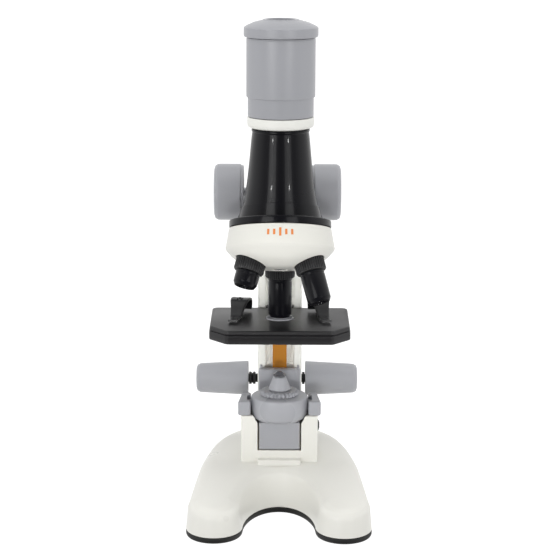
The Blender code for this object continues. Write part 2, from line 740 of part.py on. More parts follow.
def make_lamp():
    bowl_line = [(0, 50.6), (11.9, 50.6)]
    for height in np.linspace(49.6, 39.5, 6):
        bowl_line.append((math.sqrt(BOWL_R ** 2 - (height - LAMP_Z) ** 2), height))
    bowl = turned("lamp_bowl", bowl_line + [(0, 39.5)], 26, "grey_plastic")
    join(bowl, cross_rod("trunnion", 2.0, 16.6, 0, LAMP_Z, 20))
    cone = [(0, 59.0), (2.6, 59.0), (2.95, 58.6), (5.15, 53.3), (4.2, 53.3), (4.2, 50.9), (0, 50.9)]
    turned("lamp_cone", cone, 16, "grey_plastic")
    led = [(0, 61.5), (1.3, 61.1), (2.2, 60.2), (2.8, 59.9), (2.8, 59.3), (0, 59.3)]
    turned("lamp_led", led, 12, "black_gloss")
    dial = [(4.6, 52.9), (8.5, 52.9), (8.9, 52.5), (8.9, 51.3), (8.5, 50.9), (4.6, 50.9)]
    turned("filter_dial", dial, 24, "grey_plastic", ring=True)
    frame = box("mirror_frame", (-8.9, -6.4, 26.7), (8.9, 8.0, 39.2), "grey_plastic")
    bevel(frame, 0.7, 2)
    cut(
        frame,
        box("mirror_room", (-7.6, -5.1, 20), (7.6, 6.7, 28.5)),
        box("frame_corner", (-20, 6.4, 20), (20, 20, 28.2)),
    )
    mirror = box("mirror", (-7.3, -4.8, 27.0), (7.3, 6.1, 28.2), "mirror")
    bevel(mirror, 0.2, 1)


make_base()
make_arm()
make_tube()
make_turret()
make_stage()
make_drives()
make_lamp()
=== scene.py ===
"""The visible model of the student microscope: finely shaped pieces, plastics, camera, light and floor.

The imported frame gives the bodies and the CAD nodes. Sizes are in millimetres in the frame's own axes and are
turned into metres where a mesh is made.
"""

import json
import math

import bmesh
import bpy
import numpy as np
from mathutils import Matrix, Vector


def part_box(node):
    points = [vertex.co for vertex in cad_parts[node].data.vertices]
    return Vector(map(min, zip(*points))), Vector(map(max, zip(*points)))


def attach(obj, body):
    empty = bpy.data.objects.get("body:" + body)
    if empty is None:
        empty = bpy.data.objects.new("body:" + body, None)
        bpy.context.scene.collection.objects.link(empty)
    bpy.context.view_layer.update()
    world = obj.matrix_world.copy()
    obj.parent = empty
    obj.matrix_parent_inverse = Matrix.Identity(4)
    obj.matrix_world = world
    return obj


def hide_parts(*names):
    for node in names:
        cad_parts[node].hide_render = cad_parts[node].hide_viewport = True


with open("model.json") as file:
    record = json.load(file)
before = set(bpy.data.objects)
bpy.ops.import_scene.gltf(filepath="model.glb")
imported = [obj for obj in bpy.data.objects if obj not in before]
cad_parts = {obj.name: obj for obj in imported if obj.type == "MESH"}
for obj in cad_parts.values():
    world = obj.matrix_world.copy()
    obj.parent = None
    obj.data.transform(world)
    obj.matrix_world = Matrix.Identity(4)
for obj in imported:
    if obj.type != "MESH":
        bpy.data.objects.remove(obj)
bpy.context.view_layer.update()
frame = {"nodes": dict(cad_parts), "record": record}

MM = 0.001
GAP = 0.3  # clearance between neighbouring pieces, in millimetres


def node_mid(node, axis):
    """The middle of a CAD node's box along one axis, in millimetres."""
    low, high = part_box(node)
    return (low[axis] + high[axis]) / 2 / MM


def node_low(node, axis):
    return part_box(node)[0][axis] / MM


def node_high(node, axis):
    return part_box(node)[1][axis] / MM


# Places read from the frame
PIVOT_Y = node_mid("pivot_screw", 1)
PIVOT_Z = node_mid("pivot_screw", 2)
SHAFT_Y = node_mid("stage_shaft", 1)
LOW_SHAFT_Z = node_mid("stage_shaft", 2)
HIGH_SHAFT_Z = node_mid("focus_shaft", 2)
STAGE_TOP = node_high("stage_plate", 2)
STAGE_HALF = node_high("stage_plate", 0)
STAGE_FRONT = node_low("stage_plate", 1)
STAGE_BACK = node_high("stage_plate", 1)
RIM_TOP = node_high("rubber_rim", 2)
CLIP_X = node_mid("clip_pin_right", 0)
CLIP_Y = node_mid("clip_pin_right", 1)
EYE_TOP = node_high("eyepiece_cap", 2)

# The turret's axis leans back, and every objective's axis meets it at the apex
JOINTS = {joint["name"]: joint for joint in frame["record"]["behaviour"]["joints"]}
LAMP_Z = JOINTS["lamp_turn"]["pos_m"][2] / MM
TURN = JOINTS["turret_turn"]
APEX = tuple(value / MM for value in TURN["pos_m"])
TURRET_UP = Vector(TURN["axis"]).normalized()


# ---------------------------------------------------------------- materials


def linear(rgb):
    """A colour of three 0 to 255 values as a linear one."""
    shares = [value / 255 for value in rgb]
    return tuple(s / 12.92 if s <= 0.04045 else ((s + 0.055) / 1.055) ** 2.4 for s in shares)


class Graph:
    """Adds linked shader nodes to one material."""

    def __init__(self, name):
        self.material = bpy.data.materials.new(name)
        self.material.use_nodes = True
        self.tree = self.material.node_tree
        self.shader = self.tree.nodes["Principled BSDF"]
        self.place = self.tree.nodes.new("ShaderNodeTexCoord").outputs["Object"]

    def link(self, start, end):
        self.tree.links.new(start, end)

    def noise(self, scale, detail=3.0, stretch=None):
        """Noise over the object's own metres. Stretch scales each axis of it first."""
        place = self.place
        if stretch:
            mapping = self.tree.nodes.new("ShaderNodeMapping")
            mapping.inputs["Scale"].default_value = stretch
            self.link(place, mapping.inputs["Vector"])
            place = mapping.outputs["Vector"]
        node = self.tree.nodes.new("ShaderNodeTexNoise")
        node.inputs["Scale"].default_value = scale
        node.inputs["Detail"].default_value = detail
        self.link(place, node.inputs["Vector"])
        return node.outputs["Fac"]

    def spread(self, value, low, high, start=0.3, end=0.7):
        """Maps a value from start and end to low and high."""
        node = self.tree.nodes.new("ShaderNodeMapRange")
        node.inputs["From Min"].default_value = start
        node.inputs["From Max"].default_value = end
        node.inputs["To Min"].default_value = low
        node.inputs["To Max"].default_value = high
        self.link(value, node.inputs["Value"])
        return node.outputs["Result"]

    def mix(self, factor, first, second):
        """Mixes two colours. Each is a linked socket or an RGB value."""
        node = self.tree.nodes.new("ShaderNodeMix")
        node.data_type = "RGBA"
        self.link(factor, node.inputs["Factor"])
        for value, socket in ((first, node.inputs[6]), (second, node.inputs[7])):
            if isinstance(value, tuple):
                socket.default_value = (*value, 1.0)
            else:
                self.link(value, socket)
        return node.outputs[2]

    def bump(self, height, strength, depth_mm):
        node = self.tree.nodes.new("ShaderNodeBump")
        node.inputs["Strength"].default_value = strength
        node.inputs["Distance"].default_value = depth_mm * MM
        self.link(height, node.inputs["Height"])
        self.link(node.outputs["Normal"], self.shader.inputs["Normal"])

    def edges(self, low, high):
        """0 on flat faces and 1 on convex edges, where wear and a painted edge highlight go."""
        geometry = self.tree.nodes.new("ShaderNodeNewGeometry")
        return self.spread(geometry.outputs["Pointiness"], 0.0, 1.0, low, high)


def scaled(colour, share):
    return tuple(min(1.0, value * share) for value in colour)


def plastic(name, rgb, roughness, grain=1.0, tone=0.03, wear_and_sheen=0.25, relief=0.25, specular=0.5, coat=0.0):
    """Moulded plastic: faint cloudy tone, fine spark-eroded grain, and convex edges made lighter, partly wear and
    partly painted edge highlight.
    """
    graph = Graph(name)
    colour = linear(rgb)
    cloud = graph.spread(graph.noise(16, 1.0), 0.0, 1.0, 0.15, 0.85)
    body = graph.mix(cloud, scaled(colour, 1 - tone), scaled(colour, 1 + tone))
    # Convex edges are painted lighter: partly rubbed wear, partly a painted edge highlight.
    if wear_and_sheen:
        edge = tuple(value + (1 - value) * 0.12 * wear_and_sheen for value in colour)
        body = graph.mix(graph.edges(0.53, 0.62), body, edge)
    graph.link(body, graph.shader.inputs["Base Color"])
    patch = graph.noise(30, 1.0)
    graph.link(graph.spread(patch, roughness * 0.85, min(1.0, roughness * 1.2)), graph.shader.inputs["Roughness"])
    if relief:
        graph.bump(graph.noise(1500 * grain, 3.0), relief, 0.02)
    graph.shader.inputs["Specular IOR Level"].default_value = specular
    if coat:
        graph.shader.inputs["Coat Weight"].default_value = coat
        graph.shader.inputs["Coat Roughness"].default_value = 0.05
    return graph.material


def metal(name, rgb, roughness, stretch=(1, 1, 14)):
    """Drawn metal with fine scratches along one axis."""
    graph = Graph(name)
    colour = linear(rgb)
    streak = graph.noise(420, 4.0, stretch)
    graph.link(graph.mix(streak, scaled(colour, 0.82), scaled(colour, 1.1)), graph.shader.inputs["Base Color"])
    graph.link(graph.spread(streak, roughness * 0.7, roughness * 1.4), graph.shader.inputs["Roughness"])
    graph.shader.inputs["Metallic"].default_value = 1.0
    graph.bump(streak, 0.2, 0.01)
    return graph.material


def lens_glass(name):
    """Clear glass with a thin bluish coating and a trace of dust."""
    graph = Graph(name)
    dust = graph.spread(graph.noise(900, 4.0), 0.0, 1.0, 0.62, 0.8)
    graph.link(graph.mix(dust, (0.82, 0.88, 0.95), (0.7, 0.7, 0.7)), graph.shader.inputs["Base Color"])
    graph.link(graph.spread(dust, 0.02, 0.2, 0.0, 1.0), graph.shader.inputs["Roughness"])
    graph.shader.inputs["Transmission Weight"].default_value = 1.0
    graph.shader.inputs["IOR"].default_value = 1.5
    return graph.material


def silvering(name):
    """A flat mirror with faint wiping marks."""
    graph = Graph(name)
    smear = graph.noise(160, 5.0, (1, 6, 1))
    graph.link(graph.mix(smear, (0.80, 0.82, 0.84), (0.92, 0.93, 0.95)), graph.shader.inputs["Base Color"])
    graph.link(graph.spread(smear, 0.02, 0.10), graph.shader.inputs["Roughness"])
    graph.shader.inputs["Metallic"].default_value = 1.0
    return graph.material


LOOKS = {
    "white": plastic("white_abs", (237, 236, 229), 0.32, tone=0.008, wear_and_sheen=0.0, relief=0.0),
    # The turret's white is the same white plastic made darker: painted shade for how light falls on the turret.
    "turret_white_painted_shade": plastic("turret_abs_painted_shade", (226, 225, 218), 0.30, tone=0.006, wear_and_sheen=0.0, relief=0.0),
    # The arm's white is the same white plastic made lighter: painted light for the shaded arm, cover, ribs and tube
    # ring.
    "arm_white_painted_light": plastic("arm_abs_painted_light", (245, 245, 239), 0.34, tone=0.008, wear_and_sheen=0.0, relief=0.0),
    # The warm tan for the yoke slot is painted shade of the deep gap, not the plastic's own colour.
    "slot_painted_shade": plastic("slot_painted_shade", (250, 229, 188), 0.6, tone=0.01, wear_and_sheen=0.0, relief=0.0),
    "grey": plastic("grey_abs", (167, 168, 173), 0.32, tone=0.02, wear_and_sheen=0.0, relief=0.1),
    "black": plastic("gloss_black", (10, 10, 15), 0.28, tone=0.10, relief=0.05, wear_and_sheen=0.0, specular=0.16, coat=0.22),
    "satin": plastic("satin_black", (19, 19, 21), 0.34, tone=0.12, relief=0.3, wear_and_sheen=0.5, specular=0.35),
    "stage": plastic("stage_black", (24, 23, 25), 0.36, tone=0.10, relief=0.3, wear_and_sheen=0.8, grain=0.8, specular=0.28),
    "rubber": plastic("rim_rubber", (15, 15, 12), 0.62, tone=0.15, relief=0.7, grain=0.6),
    "orange": plastic("rack_acetal", (186, 122, 36), 0.34, tone=0.06, wear_and_sheen=0.0, relief=0.3),
    "print": plastic("print_ink", (222, 132, 62), 0.45, tone=0.05, relief=0.2),
    "bulb": plastic("bulb_grey", (96, 97, 102), 0.25, tone=0.05, wear_and_sheen=0.0, relief=0.0),
    "sleeve": plastic("cell_sleeve", (70, 92, 84), 0.3, tone=0.08, relief=0.1),
    "steel": metal("plain_steel", (176, 177, 181), 0.30),
    "glass": lens_glass("coated_glass"),
    "mirror": silvering("mirror_glass"),
}

SLOT_LOOKS = {
    "white_plastic": "white",
    "grey_plastic": "grey",
    "black_gloss": "black",
    "black_satin": "satin",
    "black_rubber": "rubber",
    "orange_plastic": "orange",
    "glass": "glass",
    "mirror": "mirror",
    "steel": "steel",
    "battery": "sleeve",
}

NODE_SLOTS = {part["node"]: part["material_slot"] for part in frame["record"]["subparts"]}
NODE_BODY = {node: body for body, nodes in frame["record"]["behaviour"]["bodies"].items() for node in nodes}

for node_name, thing in frame["nodes"].items():
    look = LOOKS[SLOT_LOOKS[NODE_SLOTS[node_name]]]
    if thing.material_slots:
        for place in thing.material_slots:
            place.material = look
    else:
        thing.data.materials.append(look)


# ---------------------------------------------------------------- mesh tools


def shade(mesh, angle=32):
    """Smooth shading that stays crisp over edges sharper than the angle."""
    mesh.polygons.foreach_set("use_smooth", [True] * len(mesh.polygons))
    mesh.set_sharp_from_angle(angle=math.radians(angle))
    mesh.update()


def make(name, points, faces, angle=32):
    """A mesh object from points in millimetres."""
    mesh = bpy.data.meshes.new(name)
    mesh.from_pydata([tuple(value * MM for value in point) for point in points], [], faces)
    shape = bmesh.new()
    shape.from_mesh(mesh)
    bmesh.ops.remove_doubles(shape, verts=shape.verts, dist=0.0000005)
    bmesh.ops.recalc_face_normals(shape, faces=shape.faces)
    shape.to_mesh(mesh)
    shape.free()
    shade(mesh, angle)
    thing = bpy.data.objects.new(name, mesh)
    bpy.context.scene.collection.objects.link(thing)
    return thing


def skin(rows, count):
    """The four-sided faces between neighbouring rings, for pairs of ring numbers and points per ring."""
    faces = []
    for low, high in rows:
        for i in range(count):
            after = (i + 1) % count
            faces.append([low * count + i, low * count + after, high * count + after, high * count + i])
    return faces


def ring_pairs(rings):
    return [(i, i + 1) for i in range(rings - 1)]


def loft(name, points, rings, angle):
    """A closed body from rings of points, with a flat cap on each end."""
    count = len(points) // rings
    faces = skin(ring_pairs(rings), count)
    faces.append(list(range(count)))
    faces.append(list(range((rings - 1) * count, rings * count)))
    return make(name, points, faces, angle)


def settle(thing, angle=32):
    """Applies the object's modifiers."""
    bpy.context.view_layer.update()
    graph = bpy.context.evaluated_depsgraph_get()
    mesh = bpy.data.meshes.new_from_object(thing.evaluated_get(graph))
    thing.modifiers.clear()
    thing.data = mesh
    shade(mesh, angle)
    return thing


def merge(thing, operation, tools, angle=32, solver="EXACT"):
    """Adds the tools to the object, or cuts them from it, and removes them."""
    for tool in tools:
        modifier = thing.modifiers.new(tool.name, "BOOLEAN")
        modifier.operation = operation
        modifier.solver = solver
        modifier.object = tool
        settle(thing, angle)
        bpy.data.objects.remove(tool, do_unlink=True)
    return thing


def cut(thing, *tools, **options):
    return merge(thing, "DIFFERENCE", tools, **options)


def join(thing, *tools, **options):
    return merge(thing, "UNION", tools, **options)


def soften(profile, radius, ring=False, steps=3, least=12):
    """Rounds each corner of a flat line with a small curve."""
    points = [Vector(point) for point in profile]
    count = len(points)
    made = []
    for i, corner in enumerate(points):
        if not ring and i in (0, count - 1):
            made.append(corner)
            continue
        before = points[i - 1] - corner
        after = points[(i + 1) % count] - corner
        turn = before.angle(after)
        if math.pi - turn < math.radians(least):
            made.append(corner)
            continue
        reach = min(radius / math.tan(turn / 2), before.length * 0.45, after.length * 0.45)
        start = corner + before.normalized() * reach
        end = corner + after.normalized() * reach
        for k in range(steps + 1):
            t = k / steps
            made.append(start * (1 - t) ** 2 + corner * 2 * t * (1 - t) + end * t**2)
    return [tuple(point) for point in made]


def through(points, per=6):
    """A smooth line through points of any number of values."""
    run = np.array([points[0], *points, points[-1]], float)
    made = []
    for i in range(1, len(run) - 2):
        p0, p1, p2, p3 = run[i - 1 : i + 3]
        for t in np.linspace(0, 1, per, endpoint=False):
            made.append(
                0.5 * (2 * p1 + (p2 - p0) * t + (2 * p0 - 5 * p1 + 4 * p2 - p3) * t**2
                       + (3 * p1 - p0 - 3 * p2 + p3) * t**3)
            )
    made.append(run[-2])
    return [tuple(float(value) for value in point) for point in made]


def arc(centre, radius, start, end, count):
    angles = np.radians(np.linspace(start, end, count))
    return [(centre[0] + radius * math.cos(a), centre[1] + radius * math.sin(a)) for a in angles]


def placed(at=(0, 0, 0), up=(0, 0, 1)):
    """A matrix in millimetres that stands local +Z along up."""
    return Matrix.Translation(Vector(at)) @ Vector(up).to_track_quat("Z", "Y").to_matrix().to_4x4()


def lathe(name, profile, steps=96, at=(0, 0, 0), up=(0, 0, 1), ring=False, ribs=None, angle=32):
    """A profile of (radius, height) turned about up. Ribs is (count, depth, lowest height, highest height)."""
    place = placed(at, up)
    points = []
    rows = []
    for radius, height in profile:
        if radius < 1e-6:
            rows.append([len(points)] * steps)
            points.append(place @ Vector((0, 0, height)))
            continue
        rows.append(list(range(len(points), len(points) + steps)))
        for k in range(steps):
            a = 2 * math.pi * k / steps
            reach = radius
            if ribs and ribs[2] <= height <= ribs[3]:
                reach -= ribs[1] * (0.5 - 0.5 * math.cos(ribs[0] * a)) ** 1.5
            points.append(place @ Vector((reach * math.cos(a), reach * math.sin(a), height)))
    pairs = list(zip(rows, rows[1:]))
    if ring:
        pairs.append((rows[-1], rows[0]))
    faces = []
    for low, high in pairs:
        for k in range(steps):
            after = (k + 1) % steps
            corners = [low[k], low[after], high[after], high[k]]
            face = list(dict.fromkeys(corners))
            if len(face) > 2:
                faces.append(face)
    return make(name, points, faces, angle)


def rod(name, radius, low, high, steps=48, at=(0, 0, 0), up=(0, 0, 1)):
    return lathe(name, [(0, low), (radius, low), (radius, high), (0, high)], steps, at, up)


def prism(name, outline, low, high, sideways=False, round_edges=0.0, segments=3, angle=32):
    """A flat outline with thickness: in XY between two heights, or in YZ between two values of X."""
    count = len(outline)
    if sideways:
        ends = [[(x, u, v) for u, v in outline] for x in (low, high)]
    else:
        ends = [[(u, v, z) for u, v in outline] for z in (low, high)]
    faces = [[(i + 1) % count, i, count + i, count + (i + 1) % count] for i in range(count)]
    faces += [list(range(count)), list(range(2 * count - 1, count - 1, -1))]
    thing = make(name, ends[0] + ends[1], faces, angle)
    return rounded(thing, round_edges, segments, angle)


def rounded(thing, radius, segments=3, angle=32, limit=40):
    if radius:
        modifier = thing.modifiers.new("Edges", "BEVEL")
        modifier.width = radius * MM
        modifier.segments = segments
        modifier.limit_method = "ANGLE"
        modifier.angle_limit = math.radians(limit)
        settle(thing, angle)
    return thing


def block(name, low, high, radius=0.0, segments=3):
    outline = [(low[0], low[1]), (high[0], low[1]), (high[0], high[1]), (low[0], high[1])]
    return prism(name, outline, low[2], high[2], round_edges=radius, segments=segments)


def extra(thing, look, node):
    """Gives a piece its look and makes it ride on the body of a CAD node."""
    thing.data.materials.clear()
    thing.data.materials.append(LOOKS[look])
    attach(thing, NODE_BODY[node])
    return thing


def piece(thing, look, *nodes):
    """The same for a piece that also stands for its CAD nodes."""
    extra(thing, look, nodes[0])
    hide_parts(*nodes)
    return thing


# ---------------------------------------------------------------- base

# The toes are half ellipses, the arch between them is an ellipse and the back is a squared-off curve
TOE_X = 28.0
TOE_Y = -42.7
TOE_RX = 12.2
TOE_RY = 14.0
BASE_BACK_Y = 56.7
BASE_TAPER = 0.115
BASE_ROUND = 5.5
ARCH_Y = -46.0
ARCH_RX = 15.9
ARCH_RY = 30.7
BASE_TOP = 21.5
BASE_SLOPE = 0.155
SLOPE_START_Y = -8.0
TOE_BLEND = 12.0  # how far behind the toes the section turns from crisp to soft
WALL = 2.4
FAR = 99.0  # an inset that always reaches the spine
YOKE_OUT = 17.2
YOKE_IN = 9.8
YOKE_FRONT = -7.0
YOKE_TOP = 42.5
SLOT_FLOOR = 20.2
CHEEK_IN = 10.5
CAP_TOP = 49.5
BOWL_R = 13.1


def base_height(y):
    """The height of the base's top: level at the back, falling towards the toes."""
    return BASE_TOP - BASE_SLOPE * max(0.0, SLOPE_START_Y - y)


def outer_line(stations):
    """Evenly spaced points round the outer side: a tapered body with a round back."""
    reach = BASE_BACK_Y - TOE_Y
    fine = []
    for turn in np.linspace(-math.pi / 2, math.pi / 2, 1441):
        share = abs(math.cos(turn)) ** (2 / BASE_ROUND)
        half = TOE_X + TOE_RX - BASE_TAPER * reach * share
        fine.append((half * math.sin(turn), TOE_Y + reach * share))
    fine = np.array(fine)
    steps = np.hypot(*np.diff(fine, axis=0).T)
    run = np.concatenate([[0], np.cumsum(steps)])
    even = np.linspace(0, run[-1], stations + 1)
    return list(zip(np.interp(even, run, fine[:, 0]), np.interp(even, run, fine[:, 1])))


def horseshoe_line(stations=112, toe_steps=36):
    """The base's outline as a closed run of (edge point, spine point, which edge)."""
    outer = outer_line(stations)
    inner = []
    for i in range(stations + 1):
        arch = (TOE_X - TOE_RX) * math.sin(math.pi * (i / stations - 0.5))
        rise = math.sqrt(max(0.0, 1 - (arch / ARCH_RX) ** 2))
        start = math.sqrt(1 - ((TOE_X - TOE_RX) / ARCH_RX) ** 2)
        lift = (rise - start) / (1 - start)
        inner.append((arch, TOE_Y + (ARCH_Y + ARCH_RY - TOE_Y) * lift))
    spine = [((a[0] + b[0]) / 2, (a[1] + b[1]) / 2) for a, b in zip(outer, inner)]
    run = [(edge, mid, "outer") for edge, mid in zip(outer, spine)]
    toe_angles = [-math.pi * i / toe_steps for i in range(1, toe_steps)]
    for a in toe_angles:
        run.append(((TOE_X + TOE_RX * math.cos(a), TOE_Y + TOE_RY * math.sin(a)), spine[-1], "toe"))
    run += [(edge, mid, "inner") for edge, mid in zip(reversed(inner), reversed(spine))]
    for a in toe_angles:
        run.append(((-TOE_X + TOE_RX * math.cos(a), TOE_Y + TOE_RY * math.sin(a)), spine[0], "toe"))
    return run


def horseshoe(name, rings, band=False, angle=32):
    """A closed solid on the horseshoe line. Each ring maps (which edge, y) to (inset, height).

    The height is a number or a function of y.
    """
    run = horseshoe_line()
    points = []
    for ring in rings:
        for edge, mid, kind in run:
            inset, height = ring(kind, edge[1])
            across = Vector(mid) - Vector(edge)
            x, y = Vector(edge) + across * min(1.0, inset / across.length)
            points.append((x, y, height(y) if callable(height) else height))
    pairs = ring_pairs(len(rings))
    if band:
        pairs.append((len(rings) - 1, 0))
    thing = make(name, points, skin(pairs, len(run)), angle)
    shape = bmesh.new()
    shape.from_mesh(thing.data)
    bmesh.ops.remove_doubles(shape, verts=shape.verts, dist=0.00001)
    bmesh.ops.dissolve_degenerate(shape, edges=shape.edges, dist=0.000001)
    bmesh.ops.recalc_face_normals(shape, faces=shape.faces)
    shape.to_mesh(thing.data)
    shape.free()
    shade(thing.data, angle)
    return thing


def flat_ring(inset, z):
    return lambda kind, y: (inset, z)


def top_share(share, drop=0.0):
    bottom = RIM_TOP + GAP
    return lambda y: bottom + (base_height(y) - bottom) * share - drop


# The base's section: inset on the outer side, on the toes and on the arch, and share of the height.
SECTION = ((0, 0, 0, 0), (0.9, 1.2, 1.6, 0.74), (2.0, 2.5, 3.2, 0.88), (4.2, 5.0, 6.0, 0.965), (9, 8.6, 9.4, 1.0))
SECTION_STEPS = 5


def section_rings():
    """Rings over the section: soft on the sides and the arch, with crisp cap lines on the toes."""
    soft = through(SECTION, SECTION_STEPS)
    crisp = []
    for low, high in zip(SECTION, SECTION[1:]):
        for t in np.linspace(0, 1, SECTION_STEPS, endpoint=False):
            crisp.append(tuple(a + (b - a) * t for a, b in zip(low, high)))
    crisp.append(SECTION[-1])

    def ring(smooth, straight):
        def values(kind, y):
            blend = 0.0 if kind == "toe" else min(1.0, max(0.0, (y - TOE_Y) / TOE_BLEND))
            column = {"outer": 0, "toe": 1, "inner": 2}[kind]
            inset = straight[column] + (smooth[column] - straight[column]) * blend
            share = straight[3] + (smooth[3] - straight[3]) * blend
            return inset, top_share(share)

        return values

    return [ring(a, b) for a, b in zip(soft, crisp)]


def make_base():
    shell_rings = [flat_ring(FAR, RIM_TOP + GAP)] + section_rings() + [lambda kind, y: (FAR, top_share(1.01))]
    shell = horseshoe("base_moulding", shell_rings, angle=30)
    hollow_rings = [
        flat_ring(FAR, 0),
        flat_ring(WALL, 0),
        flat_ring(WALL, 4.8),
        lambda kind, y: (WALL + 1.6, top_share(0.55, 1.0)),
        lambda kind, y: (WALL + 4.5, top_share(0.80, 1.8)),
        lambda kind, y: (FAR, top_share(0.80, 1.8)),
    ]
    cut(shell, horseshoe("base_hollow", hollow_rings), angle=30)
    side = [(YOKE_FRONT, 17.5), (37, 17.5), (37, 37.5), (22, 37.5), (22, YOKE_TOP), (YOKE_FRONT, YOKE_TOP)]
    yoke = prism("yoke", side, -YOKE_OUT, YOKE_OUT, sideways=True, round_edges=0.7)
    join(shell, yoke, angle=30)
    slot = [(-9, 26.4), (-5.5, 26.4), (-5.5, SLOT_FLOOR), (11.2, SLOT_FLOOR), (11.2, 17.9), (41, 17.9), (41, 60),
            (-9, 60)]
    pivot_room = rod("pivot_room", 2.3, -25, 25, 32, (0, PIVOT_Y, PIVOT_Z), (1, 0, 0))
    sink = rod("pivot_sink", 3.4, 16.6, 20, 48, (0, PIVOT_Y, PIVOT_Z), (1, 0, 0))
    nut = block("nut_room", (-20, PIVOT_Y - 3.3, PIVOT_Z - 3.3), (-15.2, PIVOT_Y + 3.3, PIVOT_Z + 3.3))
    cut(
        shell,
        prism("yoke_slot", slot, -YOKE_IN, YOKE_IN, sideways=True),
        block("cheek_slot", (-CHEEK_IN, 11.0, 17.6), (CHEEK_IN, 42.0, 60)),
        block("front_pocket", (-9.5, -10.8, 20.5), (9.5, YOKE_FRONT + 0.1, 23)),
        lathe("bowl_room", arc((0, 0), BOWL_R + 0.9, 90, -90, 33), 72, (0, 0, LAMP_Z)),
        pivot_room,
        sink,
        nut,
        angle=30,
    )
    piece(shell, "white", "base_shell")
    # The slot's inner walls and floor take the warm tan: painted shade of the deep gap.
    shell.data.materials.append(LOOKS["slot_painted_shade"])
    for face in shell.data.polygons:
        x, y, z = (value / MM for value in face.center)
        on_wall = abs(abs(x) - YOKE_IN) < 0.1 and YOKE_FRONT + 0.6 < y < 8 and z < 39
        on_floor = abs(x) < YOKE_IN and -6.0 < y < 11 and abs(z - SLOT_FLOOR) < 0.3
        if on_wall or on_floor:
            face.material_index = 1

    rim = horseshoe(
        "base_rim",
        [
            flat_ring(0.9, 0),
            flat_ring(0.3, 0.15),
            flat_ring(0.02, 0.6),
            flat_ring(-0.05, 1.2),
            flat_ring(-0.02, 2.0),
            flat_ring(0.3, RIM_TOP),
            flat_ring(3.4, RIM_TOP),
            flat_ring(3.4, 0),
        ],
        band=True,
    )
    piece(rim, "rubber", "rubber_rim")

    for sign, tag in ((-1, "left"), (1, "right")):
        plan = [(sign * x, y) for x, y in ((12.9, -8), (18.6, -8), (17.0, 8), (12.9, 8))]
        cap = prism("ear_cap_" + tag, plan, YOKE_TOP + GAP, CAP_TOP, round_edges=1.0, segments=4)
        low, high = sorted((sign * 12.0, sign * 14.6))
        cut(
            cap,
            rod("pin_room", 2.3, -30, 30, 48, (0, 0, LAMP_Z), (1, 0, 0)),
            lathe("ball_room", arc((0, 0), BOWL_R + GAP, 90, -90, 33), 72, (0, 0, LAMP_Z)),
            block("notch", (low, -6.0, 47.2), (high, 2.8, 52), 0.3),
        )
        piece(cap, "grey", "trunnion_cap_" + tag)

    head = [(0, 18.7), (1.5, 18.7), (2.9, 18.0), (3.0, 17.5), (1.9, 17.3), (1.9, -17.8), (0, -17.8)]
    screw = lathe("pivot_bolt", soften(head, 0.3), 48, (0, PIVOT_Y, PIVOT_Z), (1, 0, 0))
    for angle in (0, 90):
        spin = Matrix.Translation((0, PIVOT_Y * MM, PIVOT_Z * MM)) @ Matrix.Rotation(math.radians(angle), 4, "X")
        driver = block("driver", (18.0, -1.7, -0.35), (20, 1.7, 0.35))
        driver.data.transform(spin)
        cut(screw, driver)
    piece(screw, "satin", "pivot_screw")


# ---------------------------------------------------------------- arm

ARM_HALF = 10.1
ARM_FRONT = 22.0
ARM_TOP = 153.5
CHANNEL_HALF = 6.75
CHANNEL_FLOOR = 26.0
COVER_LOW = 62
COVER_HIGH = 122
COVER_SCREW_Z = (64.6, 119.4)


def arm_back(z):
    """The arm's back, bowed out in the middle of its height."""
    share = min(1.0, max(0.0, (z - 30) / 120))
    return 39.5 + 10 * math.sin(math.pi * share) ** 0.8


